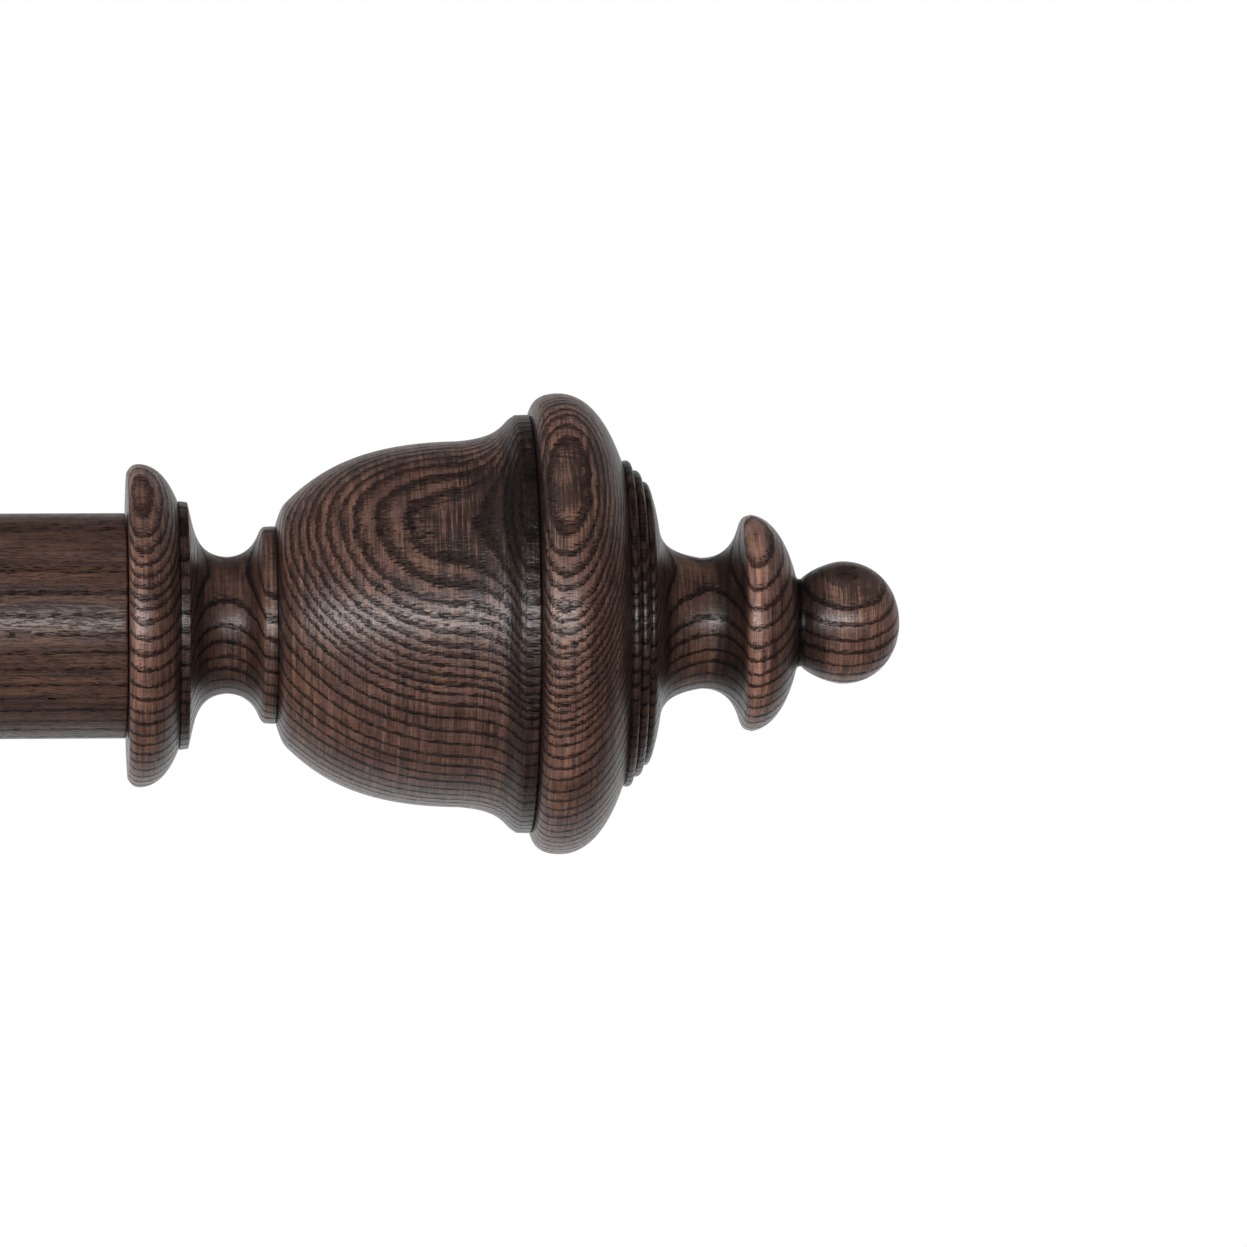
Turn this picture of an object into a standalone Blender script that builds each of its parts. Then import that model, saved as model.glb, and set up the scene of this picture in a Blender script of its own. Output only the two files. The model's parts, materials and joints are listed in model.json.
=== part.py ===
"""A wooden curtain pole with a turned urn finial at each end, on two turned wall brackets.

Row frame, in metres: the origin is the centre of the left bracket's wall plate, on the wall.
+X runs along the pole to the right as seen from the room, +Y goes into the wall and +Z is up.
Shapes are drawn in millimetres and turned into metres as their meshes are made.
"""

import math

import bmesh
import bpy
from mathutils import Vector

MM = 0.001

# Driving dimensions, in millimetres.
POLE_RADIUS = 28.575
POLE_LENGTH = 1200.0
BRACKET_INSET = 115.0
PROJECTION = 95.0
GAP = 0.3

# The threaded joint between a finial and the pole.
BOLT_RADIUS = 3.97
BOLT_HOLE_RADIUS = BOLT_RADIUS + GAP
BOLT_IN_POLE = 22.0
BOLT_IN_FINIAL = 28.0
INSERT_RADIUS = 6.0
INSERT_LENGTH = 20.0
INSERT_FLANGE_RADIUS = 9.0
INSERT_FLANGE = 1.5
WASHER_RADIUS = 11.0
WASHER_THICKNESS = 1.2
WASHER_RECESS = 1.6

# The bracket, by distance from the wall.
PLATE_RADIUS = 32.0
PLATE_THICKNESS = 3.0
BOSS_RADIUS = 9.5
BOSS_FRONT = 10.0
BOSS_HOLE_END = 3.5
PLATE_SCREW_CIRCLE = 23.0
PLATE_SCREW_RADIUS = 2.5
PLATE_SINK_RADIUS = 4.7
PLATE_SCREWS = 3
ROSETTE_FRONT = 20.0
ARM_BACK = ROSETTE_FRONT + GAP
ARM_FRONT = 54.7
STUD_FRONT = 40.0
DOWEL_RADIUS = 4.0
DOWEL_BACK = 47.6
DOWEL_FRONT = 62.0

# The cradle, a U that is open at the top, seen along the pole from the pole's axis.
CRADLE_WIDTH = 24.0
CRADLE_INNER = POLE_RADIUS + 0.5
CRADLE_OUTER = 39.5
CRADLE_BACK = PROJECTION - ARM_FRONT - GAP
FRONT_HORN = 3.0
BACK_HORN = 13.0
PAD_FOOT = -15.0
CRADLE_EDGE = 2.0

# The screw that holds the pole down in its cradle.
CUP_RADIUS = 6.0
CUP_THICKNESS = 1.8
CUP_RECESS = 2.0
SCREW_RADIUS = 2.0
SCREW_HOLE_RADIUS = SCREW_RADIUS + GAP
SCREW_LENGTH = 26.0
SCREW_HEAD_RADIUS = 4.2
SCREW_HEAD = 2.5
PILOT_DEPTH = 16.0

TURNED_SIDES = 28
ARM_SIDES = 24
SMALL_SIDES = 18
SMOOTH_ANGLE = math.radians(32)
WELD = 0.002

# Directions of an outline, in degrees from the turning axis: outwards is positive.
ALONG = 0.0
OUT = 90.0
IN = -90.0


class Outline:
    """Half of a turned piece's section, as (station along the axis, radius) points."""

    def __init__(self, station, radius):
        self.points = [(station, radius)]

    def line(self, station, radius):
        self.points.append((station, radius))
        return self

    def curve(self, station, radius, leave, arrive, out=0.37, into=0.37, steps=4):
        """A Bezier moulding that leaves and arrives at these angles.

        out and into are its two handles, as shares of the straight distance.
        """
        start = Vector(self.points[-1])
        end = Vector((station, radius))
        chord = (end - start).length
        near = start + direction(leave) * chord * out
        far = end - direction(arrive) * chord * into
        for i in range(1, steps + 1):
            t = i / steps
            u = 1 - t
            point = u**3 * start + 3 * u * u * t * near + 3 * u * t * t * far + t**3 * end
            self.points.append((point.x, point.y))
        return self


def direction(degrees):
    return Vector((math.cos(math.radians(degrees)), math.sin(math.radians(degrees))))


def clear_scene():
    for obj in list(bpy.data.objects):
        bpy.data.objects.remove(obj)


def material(name, colour, roughness, metallic=0.0):
    made = bpy.data.materials.new(name)
    made.use_nodes = True
    shader = made.node_tree.nodes["Principled BSDF"]
    shader.inputs["Base Color"].default_value = (*colour, 1.0)
    shader.inputs["Roughness"].default_value = roughness
    shader.inputs["Metallic"].default_value = metallic
    return made


def place(obj, parent, location=(0, 0, 0), turn=(0, 0, 0)):
    """Puts an object at a place in millimetres, turned by Euler angles in degrees."""
    obj.parent = parent
    obj.location = Vector(location) * MM
    obj.rotation_euler = [math.radians(angle) for angle in turn]
    return obj


def empty(name, location, parent=None):
    made = bpy.data.objects.new(name, None)
    bpy.context.scene.collection.objects.link(made)
    return place(made, parent, location)


def to_object(name, mesh_edit, surface):
    """Turns a bmesh in millimetres into an object in metres, with its own copy of the material."""
    bmesh.ops.remove_doubles(mesh_edit, verts=mesh_edit.verts, dist=WELD)
    bmesh.ops.recalc_face_normals(mesh_edit, faces=mesh_edit.faces)
    bmesh.ops.scale(mesh_edit, vec=(MM, MM, MM), verts=mesh_edit.verts)
    mesh = bpy.data.meshes.new(name)
    mesh_edit.to_mesh(mesh)
    mesh_edit.free()
    mesh.shade_smooth()
    mesh.set_sharp_from_angle(angle=SMOOTH_ANGLE)
    made = bpy.data.objects.new(name, mesh)
    bpy.context.scene.collection.objects.link(made)
    if surface:
        mesh.materials.append(surface.copy())
    return made


def turned(name, outline, surface, sides=TURNED_SIDES, ring=False):
    """Spins an outline about local Z. A ring's outline closes on itself and never meets the axis."""
    mesh_edit = bmesh.new()
    verts = [mesh_edit.verts.new((radius, 0, station)) for station, radius in outline.points]
    edges = [mesh_edit.edges.new(pair) for pair in zip(verts, verts[1:])]
    if ring:
        edges.append(mesh_edit.edges.new((verts[-1], verts[0])))
    bmesh.ops.spin(
        mesh_edit, geom=verts + edges, axis=(0, 0, 1), cent=(0, 0, 0),
        angle=math.tau, steps=sides, use_duplicate=False,
    )
    return to_object(name, mesh_edit, surface)


def cylinder(name, start, end, radius, surface=None, sides=SMALL_SIDES):
    """A plain round bar along local Z."""
    outline = Outline(start, 0).line(start, radius).line(end, radius).line(end, 0)
    return turned(name, outline, surface, sides)


def cut(target, cutter):
    """Removes the cutter's shape from the target, and hides the cutter."""
    cutter.hide_render = True
    cutter.display_type = "WIRE"
    modifier = target.modifiers.new(cutter.name, "BOOLEAN")
    modifier.operation = "DIFFERENCE"
    modifier.solver = "EXACT"
    modifier.object = cutter


def finial_outline():
    """The urn finial, from the bore in its flat base to the tip of its ball."""
    outline = Outline(BOLT_IN_FINIAL + 2, 0).line(BOLT_IN_FINIAL + 2, BOLT_HOLE_RADIUS)
    outline.line(WASHER_RECESS, BOLT_HOLE_RADIUS)
    outline.line(WASHER_RECESS, WASHER_RADIUS + GAP).line(0, WASHER_RADIUS + GAP)
    # Base moulding: a rounded rim, a falling ogee and a fillet.
    outline.line(0, 39.2).curve(2.8, 41.0, OUT, ALONG, steps=2)
    outline.curve(12.9, 31.9, -2, -30, 0.55, 0.06, steps=3).line(15.2, 31.2)
    # First neck: a deep cove that ends in a bead.
    outline.curve(25.2, 17.35, -76, -4, 0.41, 0.48)
    outline.curve(33.4, 23.2, ALONG, 55, 0.66, 0.06, steps=3).line(35.0, 24.9).line(37.5, 25.0)
    # Urn: a full round shoulder, then a lip that flares to a fillet.
    outline.line(40.2, 31.0).curve(83.6, 46.5, 45, 1, 0.29, 0.48, steps=6)
    outline.curve(98.3, 53.0, 4, 25, 0.76, 0.21).line(102.2, 53.1)
    # Torus: the widest moulding, falling to three small beads.
    outline.curve(109.6, 58.6, 78, ALONG, 0.42, 0.43, steps=3)
    outline.curve(125.3, 42.3, ALONG, -59, 0.47, 0.07, steps=5)
    for station, radius in ((127.9, 39.6), (130.6, 37.0), (133.0, 33.1)):
        outline.curve(station, radius, 20, IN, 0.4, 0.4, steps=2)
    # Second neck: a cove that opens to a sharp-rimmed cap.
    outline.curve(146.0, 16.7, -72, -9, 0.48, 0.64)
    outline.curve(156.3, 26.2, ALONG, 62, 0.61, 0.12, steps=3).line(158.3, 27.6)
    outline.curve(170.0, 12.2, ALONG, -76, 0.08, 0.74)
    # A short throat and the ball.
    outline.line(170.9, 11.1)
    outline.curve(182.2, 15.6, 62, ALONG, 0.12, 0.36)
    outline.curve(196.6, 0, ALONG, IN, 0.40, 0.41, steps=5)
    return outline


def rosette_outline():
    """The round wooden backplate, hollowed behind for the steel wall plate."""
    outline = Outline(0, PLATE_RADIUS + 0.5).line(0, 45.2)
    outline.curve(1.6, 46.0, OUT, ALONG, steps=2).line(3.6, 46.0)
    outline.curve(11.0, 36.6, ALONG, -50, 0.55, 0.10, steps=4).line(12.6, 36.2)
    outline.curve(ROSETTE_FRONT, 20.5, -76, -5, 0.42, 0.50, steps=4)
    outline.line(ROSETTE_FRONT, BOLT_HOLE_RADIUS).line(BOSS_FRONT + 0.5, BOLT_HOLE_RADIUS)
    outline.line(BOSS_FRONT + 0.5, BOSS_RADIUS + 0.5)
    outline.line(PLATE_THICKNESS + 0.5, BOSS_RADIUS + 0.5)
    return outline.line(PLATE_THICKNESS + 0.5, PLATE_RADIUS + 0.5)


def arm_outline():
    """The turned arm between rosette and cradle, bored at both ends."""
    insert_end = ARM_BACK + INSERT_LENGTH - 1
    outline = Outline(STUD_FRONT + 1.5, 0).line(STUD_FRONT + 1.5, BOLT_HOLE_RADIUS)
    outline.line(insert_end, BOLT_HOLE_RADIUS).line(insert_end, INSERT_RADIUS + GAP)
    outline.line(ARM_BACK, INSERT_RADIUS + GAP).line(ARM_BACK, 16.0)
    outline.curve(22.3, 17.4, OUT, ALONG, steps=2).curve(25.2, 15.4, ALONG, IN, steps=2)
    outline.line(26.4, 15.2).curve(37.0, 10.6, -72, ALONG, 0.40, 0.50, steps=4)
    outline.curve(46.4, 13.0, ALONG, 55, 0.60, 0.10, steps=3)
    outline.curve(48.8, 14.6, 80, ALONG, steps=2).curve(51.4, 13.4, ALONG, IN, steps=2)
    outline.line(ARM_FRONT, 13.4).line(ARM_FRONT, DOWEL_RADIUS + GAP)
    return outline.line(DOWEL_BACK - 0.5, DOWEL_RADIUS + GAP).line(DOWEL_BACK - 0.5, 0)


def arc(centre, radius, start, end, steps):
    """Points on an arc in the (wallward, up) plane, with angles in degrees."""
    angles = [start + (end - start) * i / steps for i in range(steps + 1)]
    return [tuple(Vector(centre) + radius * direction(angle)) for angle in angles]


def cradle_outline():
    """The U seen along the pole: inside from back to front, then outside from front to back."""
    front_middle = -(CRADLE_INNER + CRADLE_OUTER) / 2
    back_middle = (CRADLE_INNER + CRADLE_BACK) / 2
    inside = arc((0, 0), CRADLE_INNER, 0, -180, 16)
    front_tip = arc((front_middle, FRONT_HORN), (CRADLE_OUTER - CRADLE_INNER) / 2, 0, 180, 6)
    foot_angle = math.degrees(math.asin(PAD_FOOT / CRADLE_OUTER))
    outside = arc((0, 0), CRADLE_OUTER, -180, foot_angle, 14)
    pad = [(CRADLE_BACK, PAD_FOOT)]
    back_tip = arc((back_middle, BACK_HORN), (CRADLE_BACK - CRADLE_INNER) / 2, 0, 180, 6)
    return inside + front_tip + outside + pad + back_tip


def cradle(name, surface):
    """A U-shaped block with rounded side edges, centred on the pole's axis."""
    mesh_edit = bmesh.new()
    verts = [mesh_edit.verts.new((-CRADLE_WIDTH / 2, y, z)) for y, z in cradle_outline()]
    face = mesh_edit.faces.new(verts)
    made = bmesh.ops.extrude_face_region(mesh_edit, geom=[face])
    moved = [item for item in made["geom"] if isinstance(item, bmesh.types.BMVert)]
    bmesh.ops.translate(mesh_edit, vec=(CRADLE_WIDTH, 0, 0), verts=moved)
    rims = [edge for edge in mesh_edit.edges if abs(edge.verts[0].co.x - edge.verts[1].co.x) < WELD]
    bmesh.ops.bevel(
        mesh_edit, geom=rims, offset=CRADLE_EDGE, segments=2, profile=0.5, affect="EDGES",
    )
    return to_object(name, mesh_edit, surface)


def build_bracket(side, x, woods, metals):
    """One bracket and the screw under its cradle. Its empty is on the wall, level with the pole."""
    wall = empty(f"bracket_{side}", (x, 0, 0))
    outwards = (90, 0, 0)

    plate_outline = Outline(0, 0).line(0, PLATE_RADIUS).line(PLATE_THICKNESS, PLATE_RADIUS)
    plate_outline.line(PLATE_THICKNESS, BOSS_RADIUS).line(BOSS_FRONT, BOSS_RADIUS)
    plate_outline.line(BOSS_FRONT, BOLT_HOLE_RADIUS).line(BOSS_HOLE_END, BOLT_HOLE_RADIUS)
    plate_outline.line(BOSS_HOLE_END, 0)
    plate = turned(f"wall_plate_{side}", plate_outline, metals["steel"])
    place(plate, wall, turn=outwards)
    for i in range(PLATE_SCREWS):
        angle = 90 + 360 * i / PLATE_SCREWS
        across, up = PLATE_SCREW_CIRCLE * direction(angle)
        hole = Outline(-1, 0).line(-1, PLATE_SCREW_RADIUS).line(0.8, PLATE_SCREW_RADIUS)
        hole.line(PLATE_THICKNESS, PLATE_SINK_RADIUS).line(PLATE_THICKNESS + 1, PLATE_SINK_RADIUS)
        hole.line(PLATE_THICKNESS + 1, 0)
        cutter = turned(f"cutter_plate_{side}_{i}", hole, None, SMALL_SIDES)
        place(cutter, wall, (across, 0, up), outwards)
        cut(plate, cutter)

    stud = cylinder(f"wall_stud_{side}", BOSS_HOLE_END + GAP, STUD_FRONT, BOLT_RADIUS, metals["steel"])
    place(stud, wall, turn=outwards)

    rosette = turned(f"rosette_{side}", rosette_outline(), woods["bracket"], ring=True)
    place(rosette, wall, turn=outwards)

    insert = threaded_insert(f"arm_insert_{side}", ARM_BACK + GAP, INSERT_LENGTH - 2, metals["brass"])
    place(insert, wall, turn=outwards)

    arm = turned(f"arm_{side}", arm_outline(), woods["bracket"], ARM_SIDES)
    place(arm, wall, turn=outwards)

    dowel = cylinder(f"cradle_dowel_{side}", DOWEL_BACK, DOWEL_FRONT, DOWEL_RADIUS, woods["dowel"])
    place(dowel, wall, turn=outwards)

    saddle = cradle(f"cradle_{side}", woods["bracket"])
    place(saddle, wall, (0, -PROJECTION, 0))
    bore = cylinder(f"cutter_dowel_{side}", ARM_FRONT - 1, DOWEL_FRONT + 0.4, DOWEL_RADIUS + GAP)
    cut(saddle, place(bore, wall, turn=outwards))
    screw_way = Outline(-CRADLE_OUTER - 1, 0).line(-CRADLE_OUTER - 1, CUP_RADIUS + GAP)
    screw_way.line(-CRADLE_OUTER + CUP_RECESS, CUP_RADIUS + GAP)
    screw_way.line(-CRADLE_OUTER + CUP_RECESS, SCREW_HOLE_RADIUS)
    screw_way.line(-CRADLE_INNER + 2, SCREW_HOLE_RADIUS).line(-CRADLE_INNER + 2, 0)
    passage = turned(f"cutter_screw_{side}", screw_way, None, SMALL_SIDES)
    cut(saddle, place(passage, wall, (0, -PROJECTION, 0)))

    # The screw's origin is under its head, on its own axis, and local Z points up into the pole.
    cup_bottom = -CRADLE_OUTER + CUP_RECESS - GAP - CUP_THICKNESS
    cup_outline = Outline(0, SCREW_HOLE_RADIUS).line(0, CUP_RADIUS - 1)
    cup_outline.curve(CUP_THICKNESS, CUP_RADIUS, 60, ALONG, steps=2)
    cup_outline.line(CUP_THICKNESS, SCREW_HOLE_RADIUS)
    cup = turned(f"screw_cup_{side}", cup_outline, metals["brass"], SMALL_SIDES, ring=True)
    place(cup, wall, (0, -PROJECTION, cup_bottom))
    screw_outline = Outline(-SCREW_HEAD, 0)
    screw_outline.curve(0, SCREW_HEAD_RADIUS, OUT, ALONG, 0.40, 0.25, steps=3)
    screw_outline.line(0, SCREW_RADIUS).line(SCREW_LENGTH - 4, SCREW_RADIUS)
    screw_outline.line(SCREW_LENGTH, 0)
    screw = turned(f"retaining_screw_{side}", screw_outline, metals["brass"], SMALL_SIDES)
    place(screw, wall, (0, -PROJECTION, cup_bottom - GAP))


def threaded_insert(name, start, length, surface):
    """A plain sleeve that stands for a screw-in insert, open at both ends."""
    outline = Outline(start, BOLT_HOLE_RADIUS).line(start, INSERT_RADIUS)
    outline.line(start + length, INSERT_RADIUS).line(start + length, BOLT_HOLE_RADIUS)
    return turned(name, outline, surface, SMALL_SIDES, ring=True)


def build_pole(left_end, right_end, bracket_places, woods, metals):
    """The pole and the two inserts in its ends. Its empty is on its axis, at its left end."""
    start = empty("pole_axis", (left_end, -PROJECTION, 0))
    outline = Outline(0, 0).line(0, POLE_RADIUS).line(POLE_LENGTH, POLE_RADIUS).line(POLE_LENGTH, 0)
    pole = turned("pole", outline, woods["pole"])
    place(pole, start, turn=(0, 90, 0))
    for side, station, turn in (("left", 0, 90), ("right", POLE_LENGTH, -90)):
        bore = Outline(-1, 0).line(-1, INSERT_FLANGE_RADIUS + GAP)
        bore.line(INSERT_FLANGE + GAP, INSERT_FLANGE_RADIUS + GAP)
        bore.line(INSERT_FLANGE + GAP, INSERT_RADIUS + GAP)
        bore.line(INSERT_LENGTH + 1, INSERT_RADIUS + GAP)
        bore.line(INSERT_LENGTH + 1, BOLT_HOLE_RADIUS)
        bore.line(BOLT_IN_POLE + 6, BOLT_HOLE_RADIUS).line(BOLT_IN_POLE + 6, 0)
        cutter = turned(f"cutter_pole_{side}", bore, None, SMALL_SIDES)
        cut(pole, place(cutter, start, (station, 0, 0), (0, turn, 0)))
        sleeve = Outline(GAP, BOLT_HOLE_RADIUS).line(GAP, INSERT_FLANGE_RADIUS)
        sleeve.line(INSERT_FLANGE, INSERT_FLANGE_RADIUS).line(INSERT_FLANGE, INSERT_RADIUS)
        sleeve.line(INSERT_LENGTH, INSERT_RADIUS).line(INSERT_LENGTH, BOLT_HOLE_RADIUS)
        insert = turned(f"pole_insert_{side}", sleeve, metals["brass"], SMALL_SIDES, ring=True)
        place(insert, start, (station, 0, 0), (0, turn, 0))
    for i, x in enumerate(bracket_places):
        pilot = cylinder(
            f"cutter_pilot_{i}", -POLE_RADIUS - 1, PILOT_DEPTH - POLE_RADIUS, SCREW_HOLE_RADIUS
        )
        cut(pole, place(pilot, start, (x - left_end, 0, 0)))


def build_finial(side, end, turn, woods, metals):
    """One finial, its hanger bolt and its washer. Its empty is on the pole's axis, at its base."""
    base = empty(f"finial_axis_{side}", (end, -PROJECTION, 0))
    finial = turned(f"finial_{side}", finial_outline(), woods["finial"])
    place(finial, base, turn=(0, turn, 0))

    bolt_outline = Outline(-BOLT_IN_POLE, 0).line(-BOLT_IN_POLE, BOLT_RADIUS - 1)
    bolt_outline.line(1 - BOLT_IN_POLE, BOLT_RADIUS).line(BOLT_IN_FINIAL - 7, BOLT_RADIUS)
    bolt_outline.line(BOLT_IN_FINIAL, 0)
    bolt = turned(f"finial_bolt_{side}", bolt_outline, metals["steel"], SMALL_SIDES)
    place(bolt, base, turn=(0, turn, 0))

    ring = Outline(0, BOLT_HOLE_RADIUS).line(0, WASHER_RADIUS)
    ring.line(WASHER_THICKNESS, WASHER_RADIUS).line(WASHER_THICKNESS, BOLT_HOLE_RADIUS)
    washer = turned(f"finial_washer_{side}", ring, metals["fibre"], SMALL_SIDES, ring=True)
    place(washer, base, turn=(0, turn, 0))


def main():
    clear_scene()
    oak = (0.074, 0.040, 0.028)
    woods = {
        "finial": material("toasted_oak_finial", oak, 0.42),
        "pole": material("toasted_oak_pole", oak, 0.45),
        "bracket": material("toasted_oak_bracket", oak, 0.42),
        "dowel": material("beech_dowel", (0.55, 0.36, 0.20), 0.6),
    }
    metals = {
        "steel": material("zinc_plated_steel", (0.62, 0.62, 0.60), 0.35, 1.0),
        "brass": material("brass", (0.62, 0.42, 0.16), 0.35, 1.0),
        "fibre": material("black_fibre", (0.02, 0.02, 0.02), 0.8),
    }
    left_end = -BRACKET_INSET
    right_end = POLE_LENGTH - BRACKET_INSET
    bracket_places = (0.0, POLE_LENGTH - 2 * BRACKET_INSET)
    for side, x in zip(("left", "right"), bracket_places):
        build_bracket(side, x, woods, metals)
    build_pole(left_end, right_end, bracket_places, woods, metals)
    build_finial("left", left_end - GAP, -90, woods, metals)
    build_finial("right", right_end + GAP, 90, woods, metals)


main()
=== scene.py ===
"""Looks for the curtain pole: turned toasted-oak finials, pole and brackets with their metal fittings.

Outlines are drawn in millimetres, as (station along the turning axis, radius), and every piece is
placed by the box of the CAD node that it stands for.
"""

import itertools
import json
import math

import bmesh
import bpy
from mathutils import Matrix, Vector


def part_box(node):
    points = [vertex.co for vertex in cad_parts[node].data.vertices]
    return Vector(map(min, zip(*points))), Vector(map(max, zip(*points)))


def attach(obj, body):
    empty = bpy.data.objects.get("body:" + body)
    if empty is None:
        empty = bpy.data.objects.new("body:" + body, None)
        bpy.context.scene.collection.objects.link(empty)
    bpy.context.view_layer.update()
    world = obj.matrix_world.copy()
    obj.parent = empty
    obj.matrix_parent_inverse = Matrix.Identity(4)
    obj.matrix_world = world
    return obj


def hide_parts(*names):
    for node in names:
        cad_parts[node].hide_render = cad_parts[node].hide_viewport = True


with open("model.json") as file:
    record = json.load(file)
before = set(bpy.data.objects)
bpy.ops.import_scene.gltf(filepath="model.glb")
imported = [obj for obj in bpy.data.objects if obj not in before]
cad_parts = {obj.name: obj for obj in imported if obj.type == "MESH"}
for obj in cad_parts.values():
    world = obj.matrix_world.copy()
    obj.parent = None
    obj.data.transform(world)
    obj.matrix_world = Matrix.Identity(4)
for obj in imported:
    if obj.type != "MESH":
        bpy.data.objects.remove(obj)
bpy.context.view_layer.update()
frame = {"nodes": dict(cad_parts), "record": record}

MM = 0.001
WELD = 0.002
SMOOTH_ANGLE = math.radians(30)
NEARLY_STRAIGHT = math.radians(156)

# How a piece's own axes, with X as the turning axis, stand in the frame.
NO_TURN = Matrix.Identity(4)
HALF_TURN = Matrix.Rotation(math.pi, 4, "Z")
OUTWARDS = Matrix.Rotation(-math.pi / 2, 4, "Z")
UP = Matrix.Rotation(-math.pi / 2, 4, "Y")
DOWN = Matrix.Rotation(math.pi / 2, 4, "Y")

# The wood is painted darker, as painted shade, where a turned piece lies back, and lighter, as a painted
# highlight, where it stands out. How far it stands out is kept on the mesh under this name, as the sum
# over (reach in mm, weight, share for standing out) rows.
RELIEF = "relief"
RELIEF_REACHES = ((3.0, 1.6, 0.0), (9.0, 0.6, 1.0), (18.0, 0.3, 1.0))
RELIEF_SAMPLE = 0.2

# Sizes that the CAD nodes' boxes don't give, in millimetres.
FIT = 0.3
BOLT_RADIUS = 3.97
BOLT_HOLE = BOLT_RADIUS + FIT
BOLT_IN_POLE = 22.0
BOLT_IN_FINIAL = 28.0
BOLT_PITCH = 25.4 / 18
BOLT_MACHINE_THREAD_END = 3.0
BOLT_SHANK = (3.4, 5.6)
BOLT_WOOD_THREAD_START = 6.0
# The pole's outline has a point this far from each end, so the ends' relief stays at the ends.
EVEN_ENDS = 10.0
INSERT_RADIUS = 6.0
INSERT_LENGTH = 20.0
INSERT_FLANGE_RADIUS = 9.0
INSERT_FLANGE = 1.5
HEX_RADIUS = 5.5
HEX_DEPTH = 3.0
WASHER_RADIUS = 11.0
WASHER_THICKNESS = 1.2
WASHER_RECESS_RADIUS = WASHER_RADIUS + FIT
WASHER_RECESS = 1.6
FINIAL_BORE = 30.0
PLATE_RADIUS = 32.0
PLATE_THICKNESS = 3.0
BOSS_RADIUS = 9.5
BOSS_FRONT = 10.0
BOSS_HOLE_END = 3.5
PLATE_SCREWS = 3
PLATE_SCREW_CIRCLE = 23.0
PLATE_SCREW_RADIUS = 2.5
PLATE_SINK_RADIUS = 4.7
ROSETTE_FRONT = 20.0
ARM_BACK = ROSETTE_FRONT + FIT
ARM_FRONT = 54.7
STUD_FRONT = 40.0
DOWEL_RADIUS = 4.0
DOWEL_BACK = 47.6
DOWEL_FRONT = 62.0
CRADLE_INNER = 29.075
CRADLE_OUTER = 39.5
CRADLE_BACK = 40.0
CRADLE_WIDTH = 24.0
CRADLE_EDGE = 2.0
FRONT_HORN = 3.0
BACK_HORN = 13.0
PAD_FOOT = -15.0
CUP_RADIUS = 6.0
CUP_THICKNESS = 1.8
CUP_RECESS = 2.0
SCREW_RADIUS = 2.0
SCREW_HOLE = SCREW_RADIUS + FIT
SCREW_LENGTH = 26.0
SCREW_SHANK = 7.28
SCREW_THREAD_START = 6.0
SCREW_PITCH = 2.8
THINNEST = 0.25
SCREW_HEAD_RADIUS = 4.2
SCREW_HEAD = 2.5
SCREW_HEAD_STEPS = 8
SCREW_HEAD_FLAT = 0.2
SLOT_WIDTH = 0.9
SLOT_DEPTH = 1.2
PILOT_DEPTH = 16.0

FINE_SIDES = 192
MEDIUM_SIDES = 96
SMALL_SIDES = 48

# Directions of an outline, in degrees.
ALONG = 0.0
IN = -90.0


# ---------------------------------------------------------------- outlines and meshes

def direction(degrees):
    return Vector((math.cos(math.radians(degrees)), math.sin(math.radians(degrees))))


class Outline:
    """Half of a turned piece's section. Corners between its lines and curves are eased a little."""

    def __init__(self, station, radius):
        self.points = [Vector((station, radius))]

    def line(self, station, radius):
        self.points.append(Vector((station, radius)))
        return self

    def curve(self, station, radius, leave, arrive, out=0.37, into=0.37, steps=14):
        """A Bezier moulding that leaves and arrives at these angles. out and into are its handles, as
        shares of its chord.
        """
        start = self.points[-1]
        end = Vector((station, radius))
        chord = (end - start).length
        near = start + direction(leave) * chord * out
        far = end - direction(arrive) * chord * into
        for i in range(1, steps + 1):
            t = i / steps
            u = 1 - t
            self.points.append(u**3 * start + 3 * u * u * t * near + 3 * u * t * t * far + t**3 * end)
        return self

    def eased(self, ease, closed=False):
        """The points, with each sharp corner replaced by a small arc that starts ease away from it."""
        points, count = self.points, len(self.points)
        result = []
        for i, point in enumerate(points):
            ends = not closed and i in (0, count - 1)
            before = points[i - 1] - point
            after = points[(i + 1) % count] - point
            if ends or before.length < WELD or after.length < WELD:
                result.append(point)
                continue
            if before.angle(after) > NEARLY_STRAIGHT:
                result.append(point)
                continue
            start = point + before.normalized() * min(ease, before.length * 0.45)
            end = point + after.normalized() * min(ease, after.length * 0.45)
            for t in (0.0, 0.25, 0.5, 0.75, 1.0):
                result.append((1 - t) ** 2 * start + 2 * t * (1 - t) * point + t * t * end)
        return result


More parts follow.
